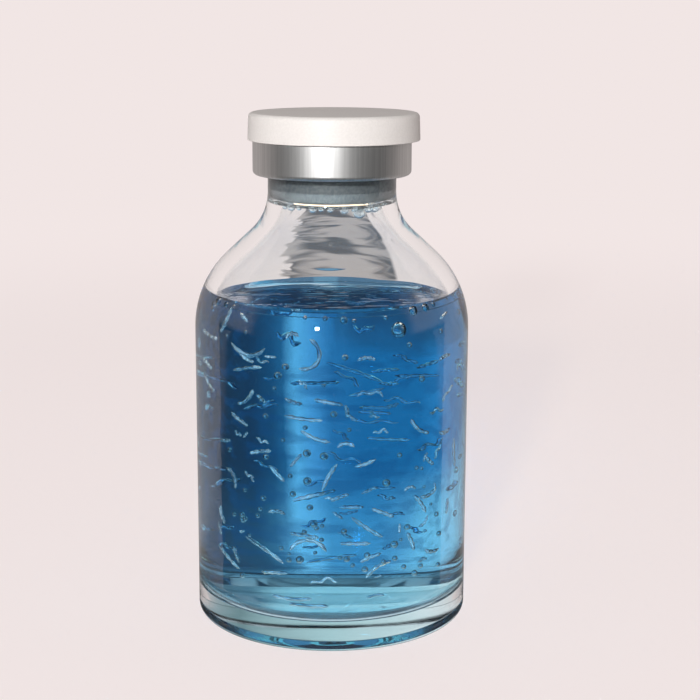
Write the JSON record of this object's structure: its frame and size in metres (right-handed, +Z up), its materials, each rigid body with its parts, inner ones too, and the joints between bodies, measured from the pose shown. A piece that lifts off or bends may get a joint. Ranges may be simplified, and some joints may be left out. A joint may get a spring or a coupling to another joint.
{
  "type": "injection vial",
  "caption": "Round clear glass vial of blue gel with caught air pockets, closed by a rubber stopper, a crimped aluminium seal and a white flip cap.",
  "frame": {"origin": "on the vial's axis, at the level of the bearing ring that it stands on", "axes": "+Z up along the vial's axis, towards the cap; +X to the right and +Y away in the picture's view"},
  "size_m": [0.036, 0.036, 0.0669],
  "materials": {
    "clear_glass": "clear moulded glass, smooth",
    "blue_gel": "clear blue gel with caught bubbles and threads of air",
    "grey_rubber": "smooth matt rubber",
    "satin_aluminium": "satin, with fine upright drawing marks",
    "white_plastic": "satin white moulded plastic"
  },
  "bodies": {
    "root": {"glass_vial": "clear_glass", "blue_gel": "blue_gel", "rubber_stopper": "grey_rubber", "crimp_seal": "satin_aluminium", "flip_cap": "white_plastic"}
  },
  "joints": []
}
